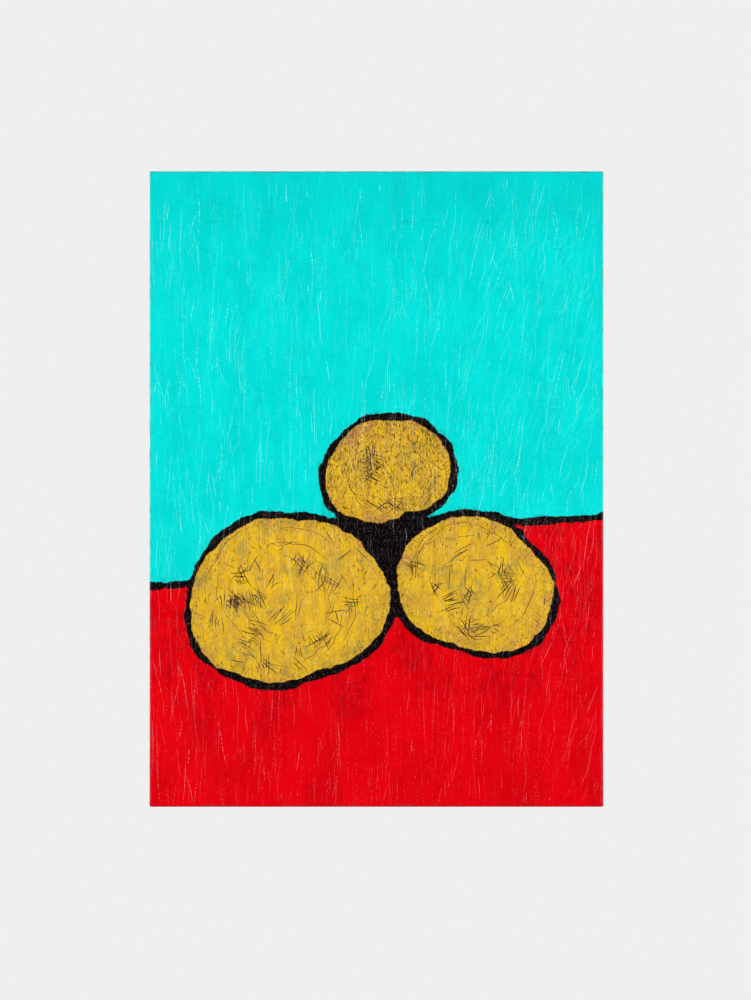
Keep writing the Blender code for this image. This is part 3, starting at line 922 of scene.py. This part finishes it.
def scratch_stone(strips, draw, center, mean):
    """Hatching, some of it crossed, long lines, single strokes and specks in one stone."""
    area = mean * mean
    for _ in range(round(HATCHES_PER_AREA * area)):
        turn = draw.gauss(3.9, 1.4)
        middle = around(center, 0.86 * mean * math.sqrt(draw.random()), turn)
        tone = draw.choice((BLACK_TONE, BLACK_TONE, MAUVE_TONE, OLIVE_TONE))
        angle = draw.uniform(0.3, 2.8)
        add_hatching(strips, draw, middle, angle, draw.randrange(3, 10), tone)
        if draw.random() < 0.4:
            crossing = angle + draw.uniform(0.7, 1.5)
            add_hatching(strips, draw, middle, crossing, draw.randrange(2, 6), tone)
    for _ in range(round(CURVES_PER_LENGTH * mean)):
        add_curve(strips, draw, center, mean)
    for _ in range(round(STROKES_PER_AREA * area)):
        middle = anywhere_in(draw, center, mean)
        angle = draw.uniform(0.2, 2.9)
        tone = draw.choice((BLACK_TONE, MAUVE_TONE, MAUVE_TONE, OLIVE_TONE))
        add_hatching(strips, draw, middle, angle, 1, tone)
    for _ in range(round(SPECKS_PER_AREA * area)):
        x, z = anywhere_in(draw, center, mean)
        crowd = 0.5 + 0.9 * wavering(x, 41, z, 0.03)
        if inside_stone(x, z, SPECK_MARGIN) and draw.random() < crowd:
            path = stroke(x, z, draw.uniform(0.3, 2.8), draw.uniform(0.0014, 0.0045), 0.0)
            width = draw.uniform(0.0007, 0.0012)
            strips.add(path, width, FINE_RISE, draw.choice((BLACK_TONE, MAUVE_TONE, OLIVE_TONE)))


def build_scratches(relief, material):
    """Scratches in the stones' paint, where the dark underpaint shows."""
    draw = random.Random(41)
    strips = Strips(relief, SCRATCH_SINK)
    for x, z, mean, _, _ in STONES:
        scratch_stone(strips, draw, (x, z), mean)
    strips.build("paint_scratches", material)


# Canvas


def staple_places():
    """Where the staples sit along each side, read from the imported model."""
    places = {"top": [], "bottom": [], "left": [], "right": []}
    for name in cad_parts:
        if name.startswith("staple_"):
            low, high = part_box(name)
            side = name.split("_")[1]
            middle = (low + high) / 2
            places[side].append(middle.z if side in ("left", "right") else middle.x)
    return places


def flap_lift(staples, side, along, share):
    """How far the flap stands off between its staples; share runs to 1 at the cut edge."""
    away = min(abs(along - place) for place in staples[side])
    half = HALF_Z if side in ("left", "right") else HALF_X
    corner = unit((half - abs(along) - FOLD_LENGTH - FOLD_MARGIN) / 0.012)
    free = 1.0 - math.exp(-((away / STAPLE_HOLD) ** 2))
    flutter = 0.75 + 0.5 * noise.noise(Vector((along * 45.0, len(side), 0.0)))
    return FLAP_LIFT * share**2 * free * corner * flutter


def cloth_section():
    """The cloth's outer line from the front edge to the flap's cut edge: (out, y, cut distance)."""
    arc = EDGE_RADIUS * math.pi / 2
    straight = DEPTH - 2 * EDGE_RADIUS
    angles = [step / BEND_STEPS * math.pi / 2 for step in range(BEND_STEPS + 1)]
    section = []
    for angle in angles:
        y = CLOTH_FRONT_Y + EDGE_RADIUS * (1 - math.cos(angle))
        section.append((EDGE_RADIUS * math.sin(angle), y, EDGE_RADIUS * angle))
    for step in range(1, SIDE_STEPS):
        run = straight * step / SIDE_STEPS
        section.append((EDGE_RADIUS, CLOTH_FRONT_Y + EDGE_RADIUS + run, arc + run))
    for angle in angles:
        y = CLOTH_BACK_Y - EDGE_RADIUS * (1 - math.sin(angle))
        section.append((EDGE_RADIUS * math.cos(angle), y, arc + straight + EDGE_RADIUS * angle))
    run = FLAP - EDGE_RADIUS
    for step in range(1, FLAP_STEPS + 1):
        share = step / FLAP_STEPS
        section.append((-run * share, CLOTH_BACK_Y, 2 * arc + straight + run * share))
    return section


def raised_patch(shape, corners, outward, rise, across, along):
    """A rounded layer of cloth over four corners given in order, sunk into what it lies on."""
    first = len(shape["vertices"])
    p00, p10, p11, p01 = (Vector(corner) for corner in corners)
    outward = Vector(outward)
    grid = []
    for j in range(along + 1):
        v = j / along
        for i in range(across + 1):
            u = i / across
            base = p00.lerp(p10, u).lerp(p01.lerp(p11, u), v)
            inset = min(u, 1 - u, v, 1 - v) * min(across, along)
            swell = math.sqrt(max(0.0, 1 - (1 - min(inset, 1.0)) ** 2))
            wave = 1 + 0.25 * wavering(base.x, base.y, base.z, 0.012)
            grid.append(base + outward * (rise * swell * wave))
    border = [j * (across + 1) + i for i, j, _, _ in border_of(across, along)]
    rim = [first + number for number in border]
    foot = [first + len(grid) + k for k in range(len(border))]
    shape["vertices"] += grid + [grid[number] - outward * CLOTH * 0.6 for number in border]
    shape["faces"] += grid_faces(across, along, first)
    shape["faces"] += ring_faces(rim, foot)
    shape["faces"].append(tuple(foot))
    shape["primed"] += [0.9] * (len(grid) + len(border))
    shape["cut"] += grid + [grid[number] for number in border]


def add_corner_layers(shape):
    """At each corner a pleat on the side face and the tucked flap's mitred end on the back."""
    edge = 1.3 * EDGE_RADIUS
    front, back = CLOTH_FRONT_Y + edge, CLOTH_BACK_Y - edge
    tip = HALF_Z - edge
    profile = ((front, tip), (back, tip), (back, tip - PLEAT_LENGTH), (front, tip - 0.0012))
    start, inner = 2 * EDGE_RADIUS, FLAP - GAP
    outline = [(start, start + 0.001), (inner, inner + 0.001), (inner, FOLD_LENGTH), (start, FOLD_LENGTH)]
    for side in (-1, 1):
        for end in (-1, 1):
            pleat = [(side * HALF_X, y, end * z) for y, z in profile]
            raised_patch(shape, pleat, (side, 0, 0), PLEAT_RISE, 14, 12)
            fold = [(side * (HALF_X - a), CLOTH_BACK_Y, end * (HALF_Z - b)) for a, b in outline]
            raised_patch(shape, fold, (0, 1, 0), FOLD_RISE, 20, 24)


def side_of(across, up):
    """The side that a place on the border belongs to; none at a corner."""
    return {(-1, 0): "left", (1, 0): "right", (0, 1): "top", (0, -1): "bottom"}.get((across, up))


def build_threads(staples, material):
    """Frayed ends of single threads along the flap's cut edge."""
    draw = random.Random(57)
    vertices, faces, cuts = [], [], []
    sides = {"left": (0, -1), "right": (0, 1), "bottom": (2, -1), "top": (2, 1)}
    for _ in range(THREAD_COUNT):
        side = draw.choices(list(sides), weights=(7, 7, 5, 5))[0]
        axis, way = sides[side]
        half, reach = (HALF_Z, HALF_X) if axis else (HALF_X, HALF_Z)
        along = draw.uniform(-1.0, 1.0) * (reach - FOLD_LENGTH - FOLD_MARGIN)
        length = draw.uniform(0.0015, 0.008)
        drift = draw.gauss(0.0, 0.0018)
        height = CLOTH_BACK_Y - CLOTH / 2 + flap_lift(staples, side, along, 1.0)
        radius = draw.uniform(0.00018, 0.00026)
        last = None
        for k in range(THREAD_STEPS + 1):
            share = k / THREAD_STEPS
            inward = FLAP - THREAD_ROOT + (length + THREAD_ROOT) * share
            ring = []
            for corner in range(3):
                angle = corner * 2 * math.pi / 3
                spot = [0.0, height + radius * math.sin(angle), 0.0]
                spot[axis] = way * (half - inward)
                spot[2 - axis] = along + drift * share * share + radius * math.cos(angle)
                ring.append(len(vertices))
                vertices.append(tuple(spot))
                cuts.append((spot[0], 0.0, spot[2]))
            faces += ring_faces(last, ring) if last else [tuple(ring)]
            last = ring
        faces.append(tuple(last))
    values = {"primed": [0.0] * len(vertices), "cut_place": cuts}
    return new_piece("loose_threads", vertices, faces, material, values)


def build_canvas(material):
    """The cloth as one shell: over the front, round the edges and in under the staples."""
    inset_x, inset_z = HALF_X - EDGE_RADIUS, HALF_Z - EDGE_RADIUS
    columns, rows = round(2 * inset_x / CLOTH_STEP), round(2 * inset_z / CLOTH_STEP)
    border = border_of(columns, rows)
    staples = staple_places()
    section = cloth_section()
    flap_start = len(section) - FLAP_STEPS
    bend_start = flap_start - BEND_STEPS - 1
    shape = {"vertices": [], "faces": [], "primed": [], "cut": []}

    def add_ring(out, y, cut, row, depth):
        ring = []
        on_flap = row >= flap_start
        for i, j, across, up in border:
            x = inset_x * (2 * i / columns - 1)
            z = inset_z * (2 * j / rows - 1)
            side = side_of(across, up)
            reach, lift = out, 0.0
            if on_flap and side:
                share = (row - flap_start + 1) / FLAP_STEPS
                lift = flap_lift(staples, side, z if across else x, share)
                reach -= 0.0012 * share * wavering(x, 5, z, 0.007)
            if not side and reach > 0:
                reach *= CORNER_SHARE
            if side and BEND_STEPS < row <= bend_start:
                reach += 0.00018 * (1 + wavering(x, 7, z, 0.045))
            wide, high = across * reach, up * reach
            if on_flap and not across:
                wide = -math.copysign(max(0.0, abs(x) - inset_x - out), x)
            if on_flap and not up:
                high = -math.copysign(max(0.0, abs(z) - inset_z - out), z)
            ring.append(len(shape["vertices"]))
            shape["vertices"].append((x + wide, y + lift, z + high))
            shape["cut"].append((x + across * cut, depth, z + up * cut))
            shape["primed"].append(float(depth == 0.0 and cut < DEPTH + PRIMED_FLAP))
        return ring

    outer = [add_ring(out, y, cut, row, 0.0) for row, (out, y, cut) in enumerate(section)]
    inner = []
    bend = EDGE_RADIUS - CLOTH
    for row, (out, y, cut) in enumerate(section):
        if row <= BEND_STEPS:
            angle = row / BEND_STEPS * math.pi / 2
            out = out * INNER_BEND
            y = CLOTH_FRONT_Y + CLOTH + INNER_BEND * EDGE_RADIUS * (1 - math.cos(angle))
        elif row < bend_start:
            out = bend
        elif row < flap_start:
            angle = (row - bend_start) / BEND_STEPS * math.pi / 2
            out = bend * math.cos(angle)
            y = CLOTH_BACK_Y - CLOTH - bend * (1 - math.sin(angle))
        else:
            y -= CLOTH
        inner.append(add_ring(out, y, cut, row, CLOTH))
    for rings in (outer, inner):
        for lower, upper in zip(rings, rings[1:]):
            shape["faces"] += ring_faces(lower, upper)
    shape["faces"] += ring_faces(outer[-1], inner[-1])
    shape["faces"] += [tuple(outer[0]), tuple(inner[0])]

    add_corner_layers(shape)
    values = {"primed": shape["primed"], "cut_place": shape["cut"]}
    cloth = new_piece("canvas_cloth", shape["vertices"], shape["faces"], material, values)
    threads = build_threads(staples, material)
    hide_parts("canvas")


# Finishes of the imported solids


def make_finishes():
    """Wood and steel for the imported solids, each under a word that is in their names."""
    pine = ((0.66, 0.46, 0.25), (0.42, 0.23, 0.09), PINE_RINGS)
    beech = ((0.6, 0.38, 0.22), (0.4, 0.21, 0.1), BEECH_RINGS)
    rail = make_wood("pine_rail", 0, *pine)
    stile = make_wood("pine_stile", 2, *pine)
    return {
        "bar_top": rail,
        "bar_bottom": rail,
        "bar_left": stile,
        "bar_right": stile,
        "level": make_wood("beech_level", 0, *beech),
        "upright": make_wood("beech_upright", 2, *beech),
        "staple_": make_steel(),
    }


def dress_solids(finishes):
    for name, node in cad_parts.items():
        for word, material in finishes.items():
            if word in name:
                node.data.materials.clear()
                node.data.materials.append(material)


# Camera, light and floor


def build_camera():
    """Level and straight in front, so that the picture falls on the photograph's pixels."""
    across = 2 * HALF_X / (PICTURE_RIGHT - PICTURE_LEFT)
    down = 2 * HALF_Z / (PICTURE_BOTTOM - PICTURE_TOP)
    per_pixel = (across + down) / 2
    distance = per_pixel * IMAGE_HEIGHT * LENS / SENSOR
    data = bpy.data.cameras.new("camera")
    data.lens = LENS
    data.sensor_width = SENSOR
    data.dof.use_dof = False
    camera = add_object("camera", data)
    x = (IMAGE_WIDTH / 2 - (PICTURE_LEFT + PICTURE_RIGHT) / 2) * per_pixel
    z = ((PICTURE_TOP + PICTURE_BOTTOM) / 2 - IMAGE_HEIGHT / 2) * per_pixel
    camera.location = (x, FIELD_Y - distance, z)
    camera.rotation_euler = (math.pi / 2, 0.0, 0.0)
    bpy.context.scene.camera = camera


def build_lights():
    for name, place, size, power in LIGHTS:
        data = bpy.data.lights.new(name, "AREA")
        data.shape = "RECTANGLE"
        data.size, data.size_y = size
        data.energy = power
        light = add_object(name, data)
        light.location = place
        light.rotation_euler = Vector(place).to_track_quat("Z", "Y").to_euler()
        light.visible_camera = False


def build_world():
    """A pale even backdrop to the camera, and dim to the paint, whose gloss stays dark."""
    world = bpy.data.worlds.new("studio")
    world.use_nodes = True
    graph = Graph(world.node_tree)
    seen = graph.node("ShaderNodeLightPath").outputs["Is Camera Ray"]
    level = graph.span(seen, 0.0, 1.0, DIM_SURROUND, BACKDROP)
    background = world.node_tree.nodes["Background"]
    background.inputs["Color"].default_value = color(1.0, 1.0, 1.0)
    graph.feed(background.inputs["Strength"], level)
    bpy.context.scene.world = world


def build_floor():
    """A plain pale floor below the hanging picture, out of the main view."""
    material, graph, shader = new_material("pale_floor")
    mottle = graph.span(graph.noise(graph.place(), 3, 3), 0.3, 0.7)
    tint = graph.blend(mottle, color(0.05, 0.05, 0.05), color(0.058, 0.058, 0.058))
    seen = graph.node("ShaderNodeLightPath").outputs["Is Camera Ray"]
    glow = graph.times(seen, FLOOR_GLOW)
    connect(graph, shader, Base_Color=tint, Roughness=0.8, Specular_IOR_Level=0.0)
    connect(graph, shader, Emission_Color=color(1.0, 1.0, 1.0), Emission_Strength=glow)
    corners = [(x * FLOOR_HALF, y * FLOOR_HALF, 0) for x, y in ((-1, -1), (1, -1), (1, 1), (-1, 1))]
    mesh = bpy.data.meshes.new("floor")
    mesh.from_pydata(corners, [], [(0, 1, 2, 3)])
    mesh.materials.append(material)
    floor = add_object("floor", mesh)
    floor.location.z = -HALF_Z - FLOOR_DROP


def main():
    bpy.context.scene.view_settings.view_transform = "Standard"
    build_camera()
    build_lights()
    build_world()
    build_floor()

    group = make_paint_group()
    relief = Relief()
    build_paint_film(relief, make_paint(group))
    build_creases(relief, make_crease_paint(group))
    build_scratches(relief, make_scratch_paint())
    build_canvas(make_cloth())
    dress_solids(make_finishes())


main()
